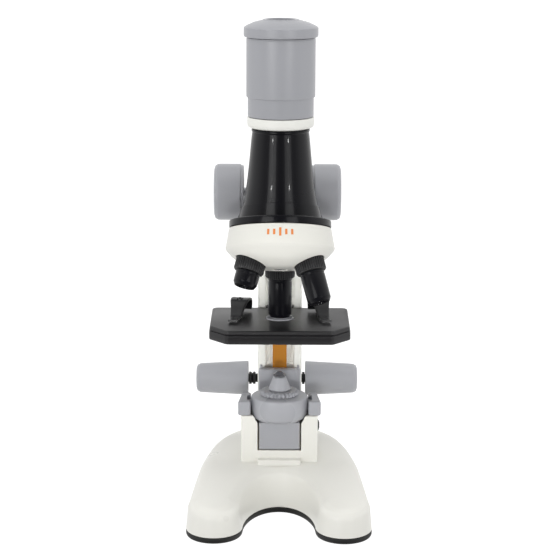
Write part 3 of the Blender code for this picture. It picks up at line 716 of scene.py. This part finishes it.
def make_arm():
    back = [(arm_back(z), z) for z in np.linspace(30, 148, 48)]
    top = arc((ARM_FRONT + 8, ARM_TOP - 8), 8, 90, 180, 16)
    bottom = arc((PIVOT_Y, PIVOT_Z), 9.3, -149, -5, 30)
    outline = bottom + back + soften([back[-1], (37.0, ARM_TOP), top[0]], 3.0, steps=6)[1:-1] + top
    arm = prism("arm_moulding", outline, -ARM_HALF, ARM_HALF, sideways=True, round_edges=1.0, segments=4)
    boss = soften([(0, -13.8), (9.4, -13.8), (9.4, 13.8), (0, 13.8)], 0.8)
    join(arm, lathe("head_boss", boss, 72, (0, SHAFT_Y, HIGH_SHAFT_Z), (1, 0, 0)))
    shafts = []
    for z in (LOW_SHAFT_Z, HIGH_SHAFT_Z):
        shafts.append(rod("chamber", 7.6, -6.2, 6.2, 48, (0, SHAFT_Y, z), (1, 0, 0)))
        shafts.append(rod("bearing", 2.4, -20, 20, 32, (0, SHAFT_Y, z), (1, 0, 0)))
    cut(
        arm,
        block("channel", (-CHANNEL_HALF, 20, 33), (CHANNEL_HALF, CHANNEL_FLOOR, 160)),
        block("line_left", (-8.75, 21, 59), (-8.25, 22.35, 160)),
        block("line_right", (8.25, 21, 59), (8.75, 22.35, 160)),
        rod("arm_pivot_room", 2.2, -20, 20, 32, (0, PIVOT_Y, PIVOT_Z), (1, 0, 0)),
        *shafts,
    )
    heights = np.linspace(COVER_LOW, COVER_HIGH, 25)
    recess = [(arm_back(z) - 2.8, z) for z in heights]
    cut(
        arm,
        prism("cover_room", recess + [(60, COVER_HIGH), (60, COVER_LOW)], -7.8, 7.8, sideways=True),
        block("arm_hollow", (-6, 36, 67), (6, 60, 117)),
    )
    holes = [rod("hole", 1.3, -9, 2, 24, (0, arm_back(z), z), (0, 1, 0)) for z in COVER_SCREW_Z]
    cut(arm, *holes)
    piece(arm, "arm_white_painted_light", "arm_body")

    for sign in (-1, 1):
        for x in (4.3, 5.4, 6.3):
            low, high = sorted((sign * (x - 0.22), sign * (x + 0.22)))
            tag = f"{'left' if sign < 0 else 'right'}_{round(x * 10)}"
            rib = block("channel_rib_" + tag, (low, 25.6, 58.5), (high, 26.4, 152.5), 0.12, 2)
            extra(rib, "arm_white_painted_light", "arm_body")

    heights = np.linspace(COVER_LOW + GAP, COVER_HIGH - GAP, 25)
    outside = [(arm_back(z), z) for z in heights]
    inside = [(arm_back(z) - 2.5, z) for z in reversed(heights)]
    cover = prism("arm_cover_panel", outside + inside, -7.5, 7.5, sideways=True, round_edges=0.4)
    for z in COVER_SCREW_Z:
        at = (0, arm_back(z), z)
        cut(cover, rod("hole", 1.3, -4, 2, 32, at, (0, 1, 0)), rod("sink", 2.3, -1.4, 2, 48, at, (0, 1, 0)))
    piece(cover, "arm_white_painted_light", "arm_cover")

    low, high = (Vector(corner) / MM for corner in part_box("rack_guide"))
    guide = block("guide_block", low, high, 0.9, 4)
    for sign in (-1, 1):
        a, b = sorted((sign * 8.0, sign * 9.0))
        join(guide, block("tab", (a, high[1] - 2.4, high[2] - 1), (b, high[1] - 0.4, high[2] + 1.3), 0.25))
    piece(guide, "grey", "rack_guide")


# ---------------------------------------------------------------- tube and eyepiece

TUBE_END = -28.3  # along the turret's axis from the apex
LIP_TOP = -21.8
LIP_THICKNESS = 0.45
CONE_CURVE = [(12.45, 169.4), (12.85, 166), (13.6, 158), (14.5, 149), (15.4, 143), (16.6, 137), (17.5, 133.2)]


def make_tube():
    neck = soften([(9.5, 171.2), (12.2, 171.2), (12.75, 170.8), (12.75, 170.0), (12.45, 169.7)], 0.2)
    skirt = soften([(17.5, 133.2), (17.6, 132.7), (18.3, 132.2), (18.7, 131.5), (18.7, 120)], 0.35)
    line = neck + through(CONE_CURVE, 8) + skirt[1:] + [(7.6, 120), (7.6, 150), (9.5, 150)]
    tube = lathe("cone_tube", line, 144, ring=True, angle=35)
    cut(tube, rod("tilted_end", 60, -60, TUBE_END, 64, APEX, TURRET_UP), angle=35)
    piece(tube, "black", "body_tube")
    side = through([(15.4, 143), (16.6, 137), (17.6, 132.6), (18.3, 127), (18.4, 120)], 8)
    band = [(radius + LIP_THICKNESS, z) for radius, z in side] + [(radius - 0.8, z) for radius, z in reversed(side)]
    lip = lathe("tube_lip", band, 144, ring=True, angle=35)
    cut(
        lip,
        rod("lip_end", 60, -60, TUBE_END, 64, APEX, TURRET_UP),
        rod("lip_top", 60, LIP_TOP, 80, 64, APEX, TURRET_UP),
        angle=35,
    )
    extra(rounded(lip, 0.15, 2, 35), "black", "body_tube")

    ring = [(12.6, 176.2), (14.4, 176.2), (14.7, 175.8), (14.7, 173), (14.3, 172), (13.2, 171.5), (9.6, 171.5),
            (9.6, 173.9), (12.6, 173.9)]
    piece(lathe("white_ring", soften(ring, 0.25, ring=True), 128, ring=True), "arm_white_painted_light", "tube_ring")

    flange = [(2.2, -28.6), (21.9, -28.6), (22.3, -28.9), (22.35, -31.6), (2.2, -31.6)]
    plate = lathe("turret_flange", soften(flange, 0.25, ring=True), 144, APEX, TURRET_UP, ring=True)
    cut(plate, rod("light_hole", 4.2, 100, 150, 48))
    piece(plate, "black", "nosepiece_plate")

    barrel = [(10.2, 210.6), (14.9, 210.6), (14.9, 210.2), (15.05, 210.0), (15.05, 185.2), (14.75, 184.8),
              (14.4, 184.6), (14.4, 176.5), (10.2, 176.5)]
    outer = lathe("eyepiece_sleeve", soften(barrel, 0.2, ring=True), 144, ring=True)
    piece(outer, "grey", "eyepiece_barrel")
    top = EYE_TOP
    cap = [(6.4, top), (7.6, top), (8.1, top - 0.35), (12.0, top - 1.35), (15.0, top - 2.7), (16.2, top - 3.5),
           (16.2, 211.6), (15.9, 210.9), (5.6, 210.9), (5.6, 216.2)]
    piece(lathe("eyepiece_top", soften(cap, 0.35, ring=True), 144, ring=True), "grey", "eyepiece_cap")
    lens = through([(0, 210.4), (2.5, 210.28), (5, 209.9), (7.6, 208.9)], 5) + [(7.6, 208.0), (0, 208.0)]
    piece(lathe("ocular_glass", lens, 64), "glass", "eye_lens")
    draw = soften([(9.2, 210.4), (9.2, 152), (8.0, 152), (8.0, 210.4)], 0.2, ring=True)
    piece(lathe("inner_tube", draw, 72, ring=True), "satin", "draw_tube")


def objective_axis(index):
    """The direction from the apex down one objective; the first one points straight down."""
    turn = Matrix.Rotation(math.radians(120 * index), 3, TURRET_UP)
    return turn @ Vector((0, 0, -1))


DOME = [(22.0, -32.0), (22.4, -32.3), (23.2, -37), (23.9, -40.8), (23.5, -41.8), (21.2, -44.4), (18.2, -46.6),
        (14, -48.6), (10, -49.8), (3.9, -50.2)]
OBJECTIVES = (("high", 72.0), ("low", 60.9), ("mid", 68.1))
COLLAR_TOP = 44.8
COLLAR_END = 54.2


def make_turret():
    under = through(DOME[5:], 4)
    well = [(3.9, -48.1), (2.6, -48.1), (2.6, -32.0)]
    line = [*soften([*DOME[:5], DOME[5]], 0.5)[:-1], *under, *well]
    dome = lathe("turret_shell", line, 144, APEX, TURRET_UP, ring=True, angle=35)
    rooms = []
    for index in range(3):
        up = -objective_axis(index)
        rooms.append(rod("socket_bore", 4.3, -55, -20, 32, APEX, up))
        rooms.append(rod("collar_room", 6.95, -60, 0.3 - COLLAR_TOP, 64, APEX, up))
    cut(dome, *rooms, angle=35)
    piece(dome, "turret_white_painted_shade", "turret_dome")
    make_ticks()

    screw = [(0, -29.6), (1.9, -29.6), (1.9, -48.4), (3.6, -48.4), (3.6, -49.4), (2.6, -50.0), (0, -50.0)]
    bolt = lathe("turret_bolt", soften(screw, 0.2), 48, APEX, TURRET_UP)
    piece(bolt, "steel", "turret_screw")

    for index, (name, tip) in enumerate(OBJECTIVES):
        up = -objective_axis(index)
        node = "objective_" + name
        end = COLLAR_END
        top = -end - GAP
        collar = [(4.0, -41), (4.0, -COLLAR_TOP), (6.2, -COLLAR_TOP), (6.6, -COLLAR_TOP - 0.4), (6.6, -48.5),
                  (6.6, -51.5), (6.6, 0.5 - end), (6.2, -end), (3.3, -end), (3.3, -41)]
        ribs = (40, 0.28, 0.4 - end, -COLLAR_TOP - 0.3)
        knurled = lathe(node + "_knurl", collar, 240, APEX, up, ring=True, ribs=ribs, angle=50)
        piece(knurled, "satin", node + "_collar")
        barrel = [(2.0, -50), (3.0, -50), (3.0, top), (5.3, top), (5.3, top - 1.0), (5.2, top - 1.1),
                  (5.2, top - 1.5), (5.3, top - 1.6), (5.2, -tip + 1.5), (4.9, -tip + 0.9), (4.4, -tip),
                  (2.3, -tip), (2.3, -tip + 1.8), (2.0, -tip + 2.2)]
        tube = lathe(node + "_tube", soften(barrel, 0.15, ring=True, steps=2), 96, APEX, up, ring=True)
        piece(tube, "black", node + "_barrel")


def dome_radius(height):
    heights = [point[1] for point in DOME[::-1]]
    return float(np.interp(height, heights, [point[0] for point in DOME[::-1]]))


TICK_TURN = 0.112  # radians between neighbouring ticks
TICK_HALF = 0.022


def make_ticks():
    """A plain row of printed index ticks on the front of the turret, the middle one taller."""
    place = placed(APEX, TURRET_UP)
    front = place.to_3x3().inverted() @ Vector((0, -1, 0))
    middle = math.atan2(front.y, front.x)
    points = []
    faces = []
    for k in range(-2, 3):
        start = middle + k * TICK_TURN
        low, high = (-37.6, -34.0) if k == 0 else (-37.0, -34.6)
        rows = []
        for height in np.linspace(low, high, 5):
            row = []
            for turn in np.linspace(start - TICK_HALF, start + TICK_HALF, 4):
                for lift in (-0.3, 0.06):
                    reach = dome_radius(height) + lift
                    row.append(len(points))
                    points.append(place @ Vector((reach * math.cos(turn), reach * math.sin(turn), height)))
            rows.append(row)
        around = [0, 2, 4, 6, 7, 5, 3, 1]
        for low_row, high_row in zip(rows, rows[1:]):
            for a, b in zip(around, around[1:] + around[:1]):
                faces.append([low_row[a], low_row[b], high_row[b], high_row[a]])
        faces.append([rows[0][i] for i in around])
        faces.append([rows[-1][i] for i in reversed(around)])
    extra(make("index_ticks", points, faces, 60), "print", "turret_dome")


# ---------------------------------------------------------------- stage


def stage_outline(inset):
    side = STAGE_HALF - inset
    front = STAGE_FRONT + inset
    back = STAGE_BACK - inset
    corner = 23.3 - inset * 0.55
    bend = -16.6 + inset * 0.4
    points = [(-corner, front), (corner, front), (side, bend), (side, back), (-side, back), (-side, bend)]
    return soften(points, 2.6, ring=True, steps=8)


def make_stage():
    top = STAGE_TOP
    rings = [(1.1, top), (0.75, top - 0.06), (0.4, top - 0.3), (0.25, top - 0.7), (0.2, top - 1.5), (0.45, top - 1.65),
             (0.45, top - 2.0), (0.05, top - 2.15), (0.0, top - 3.5), (0.0, top - 5.6), (0.25, top - 5.95),
             (0.8, top - 6.1), (2.0, top - 6.1), (2.0, top - 2.8)]
    points = []
    for inset, z in rings:
        points += [(x, y, z) for x, y in stage_outline(inset)]
    plate = loft("stage_table", points, len(rings), 35)
    cut(plate, block("notch", (-7, 15, 78), (7, 25, 83.2)), rod("aperture", 6.5, 80, 90, 72))
    for sign in (-1, 1):
        cut(plate, rod("pin_hole", 1.3, 80, 90, 32, (sign * CLIP_X, CLIP_Y, 0)))
    piece(plate, "stage", "stage_plate")
    ring = [(4.6, 85.0), (5.4, 85.1), (5.6, 86.1), (5.75, 86.3), (6.1, 86.3), (6.2, 86.1), (6.2, 83.4), (4.6, 83.4)]
    piece(lathe("aperture_trim", soften(ring, 0.08, ring=True), 96, ring=True), "grey", "aperture_ring")
    make_clip("spring_clip_left", "stage_clip_left", -1)
    make_clip("spring_clip_right", "stage_clip_right", 1)
    for tag in ("left", "right"):
        low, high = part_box("clip_pin_" + tag)
        pin = [(0, 94.6), (0.5, 94.55), (0.9, 94.2), (1.1, 93.8), (1.1, 83.5), (0, 83.5)]
        place = ((low[0] + high[0]) / 2 / MM, (low[1] + high[1]) / 2 / MM, 0)
        piece(lathe("clip_rivet_" + tag, pin, 32, place), "satin", "clip_pin_" + tag)


CLIP_PATH = (
    (-11.0, 86.9, 3.0),
    (-10.6, 88.4, 3.3),
    (-8.4, 91.2, 3.8),
    (-4.8, 93.0, 4.2),
    (-1.2, 93.5, 4.3),
    (1.6, 93.0, 4.0),
    (3.9, 91.5, 3.4),
    (5.9, 89.6, 2.9),
    (7.8, 88.1, 2.6),
    (10.2, 87.2, 2.4),
    (13.5, 87.0, 2.2),
    (15.5, 87.3, 2.1),
)
CLIP_YAW = math.radians(11)
CLIP_SECTION = ((-1, -0.30), (-0.93, -0.47), (-0.80, -0.5), (0.80, -0.5), (0.93, -0.47), (1, -0.30), (1, 0.30),
                (0.93, 0.47), (0.80, 0.5), (0.45, 0.44), (0, 0.42), (-0.45, 0.44), (-0.80, 0.5), (-0.93, 0.47),
                (-1, 0.30))


def make_clip(name, node, side):
    """An arched strip that stands on its heel and presses with its foot."""
    forward = Vector((side * math.sin(CLIP_YAW), -math.cos(CLIP_YAW), 0))
    across = Vector((math.cos(CLIP_YAW), side * math.sin(CLIP_YAW), 0))
    centre = Vector((side * CLIP_X, CLIP_Y, 0))
    up = Vector((0, 0, 1))
    path = through(CLIP_PATH, 6)
    points = []
    for i, (run, height, half) in enumerate(path):
        before = path[max(0, i - 1)]
        after = path[min(len(path) - 1, i + 1)]
        along = Vector((after[0] - before[0], after[1] - before[1])).normalized()
        normal = forward * -along.y + up * along.x
        middle = centre + forward * run + up * height
        points += [middle + across * (w * half) + normal * n for w, n in CLIP_SECTION]
    clip = loft(name, points, len(path), 40)
    cut(clip, rod("clip_hole", 1.5, 90, 98, 40, (side * CLIP_X, CLIP_Y, 0)), angle=40)
    piece(clip, "satin", node)


# ---------------------------------------------------------------- drives

DRIVE_X = -1.3  # the wheels sit a little to the left of the middle


def make_drives():
    upper = [(0, 29.0), (6.0, 29.0), (10.4, 28.9), (12.0, 28.4), (12.75, 27.2), (12.85, 26.0), (12.85, 17.1),
             (12.6, 16.7), (12.2, 16.5), (12.2, 15.4), (2.3, 15.4), (2.3, 25.3), (0, 25.3)]
    lower = [(0, 37.4), (4.6, 37.4), (6.0, 36.9), (6.7, 35.6), (6.85, 34.0), (7.9, 14.2), (7.95, 13.4), (7.6, 13.2),
             (2.3, 13.2), (2.3, 33.3), (0, 33.3)]
    for level, z, wheel in (("focus", HIGH_SHAFT_Z, upper), ("stage", LOW_SHAFT_Z, lower)):
        for side, tag in ((-1, "left"), (1, "right")):
            line = soften(wheel, 0.5, steps=4, least=8)
            knob = lathe(f"{level}_wheel_{tag}", line, 128, (DRIVE_X, SHAFT_Y, z), (side, 0, 0))
            piece(knob, "grey", f"{level}_knob_{tag}")
    line = [(0, 31.7), (2.0, 31.7), (2.0, 11.6), (2.9, 11.6), (2.9, 10.5), (2.0, 10.5), (2.0, -11.2),
            (2.9, -11.2), (2.9, -12.3), (2.3, -12.5), (2.3, -12.9), (2.9, -13.1), (2.9, -14.2), (2.0, -14.2),
            (2.0, -34.3), (0, -34.3)]
    axle = lathe("stage_axle", line, 48, (0, SHAFT_Y, LOW_SHAFT_Z), (1, 0, 0))
    piece(axle, "satin", "stage_shaft")


# ---------------------------------------------------------------- lamp


def make_lamp():
    line = [(0, 50.6), (11.6, 50.6), (12.05, 50.4)]
    for height in np.linspace(50.0, 40.9, 18):
        line.append((math.sqrt(BOWL_R**2 - (height - LAMP_Z) ** 2), height))
    line += [(11.2, 40.3), (10.4, 40.1), (10.2, 39.5), (0, 39.5)]
    bowl = lathe("lamp_housing", soften(line, 0.2, least=25), 128)
    trunnion = lathe("trunnion", soften([(0, -16.6), (2.0, -16.6), (2.0, 16.6), (0, 16.6)], 0.3), 48,
                     (0, 0, LAMP_Z), (1, 0, 0))
    join(bowl, trunnion)
    piece(bowl, "grey", "lamp_bowl")
    cone = [(0, 59.0), (2.5, 59.0), (2.95, 58.6), (3.6, 57.0), (5.15, 53.3), (4.2, 53.3), (4.2, 50.9), (0, 50.9)]
    piece(lathe("lamp_tower", soften(cone, 0.2), 72), "grey", "lamp_cone")
    led = through([(0, 61.5), (0.9, 61.35), (1.6, 60.85), (2.1, 60.3)], 4)
    led += [(2.3, 60.0), (2.8, 59.9), (2.8, 59.3), (0, 59.3)]
    piece(lathe("led_bulb", led, 48), "bulb", "lamp_led")
    dial = [(4.6, 52.9), (7.6, 52.9), (8.1, 52.75), (8.6, 52.4), (8.9, 52.1), (8.9, 51.5), (8.5, 50.9), (4.6, 50.9)]
    knurled = lathe("dial_ring", dial, 264, ring=True, ribs=(28, 1.3, 51.0, 52.8), angle=50)
    piece(knurled, "grey", "filter_dial")
    frame_box = block("mirror_housing", (-9.2, -6.4, 26.7), (9.2, 8.0, 39.2), 0.5, 4)
    cut(
        frame_box,
        block("mirror_room", (-7.6, -5.1, 20), (7.6, 6.7, 28.5)),
        block("frame_corner", (-20, 6.4, 20), (20, 20, 28.2)),
    )
    piece(frame_box, "grey", "mirror_frame")


make_base()
make_arm()
make_tube()
make_turret()
make_stage()
make_drives()
make_lamp()


# ---------------------------------------------------------------- camera, light and floor


CAMERA_PLACE = (0, -0.830, 0.282)
CAMERA_LENS = 122.9
CAMERA_PITCH = 12.155
CAMERA_ROLL = 0.25
AIM = (0, 0, 0.11)

# What the world gives in front of the object, behind it, and to the camera
WORLD_FRONT = 0.14
WORLD_BACK = 1.0
WORLD_SEEN = 1.1
# What the floor gives to the object and to the camera
FLOOR_GLOW = 0.42
FLOOR_SEEN = 0.93
FLOOR_SIDE = 6.0


def add_camera():
    data = bpy.data.cameras.new("camera")
    data.lens = CAMERA_LENS
    data.sensor_width = 36.0
    data.clip_start = 0.01
    camera = bpy.data.objects.new("camera", data)
    bpy.context.scene.collection.objects.link(camera)
    pitch = Matrix.Rotation(math.radians(90 - CAMERA_PITCH), 4, "X")
    roll = Matrix.Rotation(math.radians(CAMERA_ROLL), 4, "Z")
    camera.matrix_world = Matrix.Translation(CAMERA_PLACE) @ pitch @ roll
    bpy.context.scene.camera = camera


def hang(name, data, place, aim):
    """Puts a light in the scene, turned towards aim."""
    light = bpy.data.objects.new(name, data)
    bpy.context.scene.collection.objects.link(light)
    direction = Vector(aim) - Vector(place)
    light.matrix_world = Matrix.Translation(place) @ direction.to_track_quat("-Z", "Y").to_matrix().to_4x4()
    return light


def add_light(name, place, width, height, power):
    data = bpy.data.lights.new(name, "AREA")
    data.shape = "RECTANGLE"
    data.size = width
    data.size_y = height
    data.energy = power
    hang(name, data, place, AIM)


def add_fill(name, place, aim, beam, power):
    """A soft narrow beam that shows in no reflection."""
    data = bpy.data.lights.new(name, "SPOT")
    data.energy = power
    data.spot_size = math.radians(beam)
    data.spot_blend = 1.0
    data.shadow_soft_size = 0.05
    hang(name, data, place, aim).visible_glossy = False


def add_world():
    """Bright behind the object, dimmer in front, as in a white sweep. The camera sees plain white."""
    world = bpy.data.worlds.new("studio")
    bpy.context.scene.world = world
    world.use_nodes = True
    tree = world.node_tree
    nodes = tree.nodes
    place = nodes.new("ShaderNodeTexCoord")
    axes = nodes.new("ShaderNodeSeparateXYZ")
    depth = nodes.new("ShaderNodeMapRange")
    depth.interpolation_type = "SMOOTHSTEP"
    depth.inputs["From Min"].default_value = -0.9
    depth.inputs["From Max"].default_value = 0.0
    depth.inputs["To Min"].default_value = WORLD_FRONT
    depth.inputs["To Max"].default_value = WORLD_BACK
    tree.links.new(place.outputs["Generated"], axes.inputs["Vector"])
    tree.links.new(axes.outputs["Y"], depth.inputs["Value"])
    path = nodes.new("ShaderNodeLightPath")
    strength = nodes.new("ShaderNodeMix")
    strength.inputs["B"].default_value = WORLD_SEEN
    tree.links.new(path.outputs["Is Camera Ray"], strength.inputs["Factor"])
    tree.links.new(depth.outputs["Result"], strength.inputs["A"])
    shader = nodes["Background"]
    shader.inputs["Color"].default_value = (1, 1, 1, 1)
    tree.links.new(strength.outputs["Result"], shader.inputs["Strength"])


def add_floor():
    """A plain white floor, brighter to the camera than to the object."""
    side = FLOOR_SIDE
    mesh = bpy.data.meshes.new("floor")
    mesh.from_pydata([(-side, -side, 0), (side, -side, 0), (side, side, 0), (-side, side, 0)], [], [(0, 1, 2, 3)])
    floor = bpy.data.objects.new("floor", mesh)
    bpy.context.scene.collection.objects.link(floor)
    material = bpy.data.materials.new("white_sweep")
    material.use_nodes = True
    tree = material.node_tree
    shader = tree.nodes["Principled BSDF"]
    shader.inputs["Base Color"].default_value = (0.25, 0.25, 0.25, 1)
    shader.inputs["Roughness"].default_value = 0.9
    shader.inputs["Emission Color"].default_value = (1, 1, 1, 1)
    path = tree.nodes.new("ShaderNodeLightPath")
    glow = tree.nodes.new("ShaderNodeMapRange")
    glow.inputs["To Min"].default_value = FLOOR_GLOW
    glow.inputs["To Max"].default_value = FLOOR_SEEN
    tree.links.new(path.outputs["Is Camera Ray"], glow.inputs["Value"])
    tree.links.new(glow.outputs["Result"], shader.inputs["Emission Strength"])
    mesh.materials.append(material)
    floor.visible_glossy = False


bpy.context.scene.view_settings.view_transform = "Standard"
add_camera()
add_world()
add_floor()
add_light("strip_left", (-0.44, -0.78, 0.30), 0.42, 0.60, 1.9)
add_light("strip_right", (0.42, -0.80, 0.30), 0.40, 0.60, 1.2)
add_light("bulb_left", (-0.44, -0.75, 0.235), 0.025, 0.025, 0.25)
add_light("bulb_right", (0.44, -0.75, 0.235), 0.025, 0.025, 0.25)
add_light("overhead", (0, -0.15, 1.0), 0.9, 0.9, 1.35)
add_fill("arm_fill", (0.0, -0.62, 0.088), (0, 0, 0.085), 10.5, 11.0)
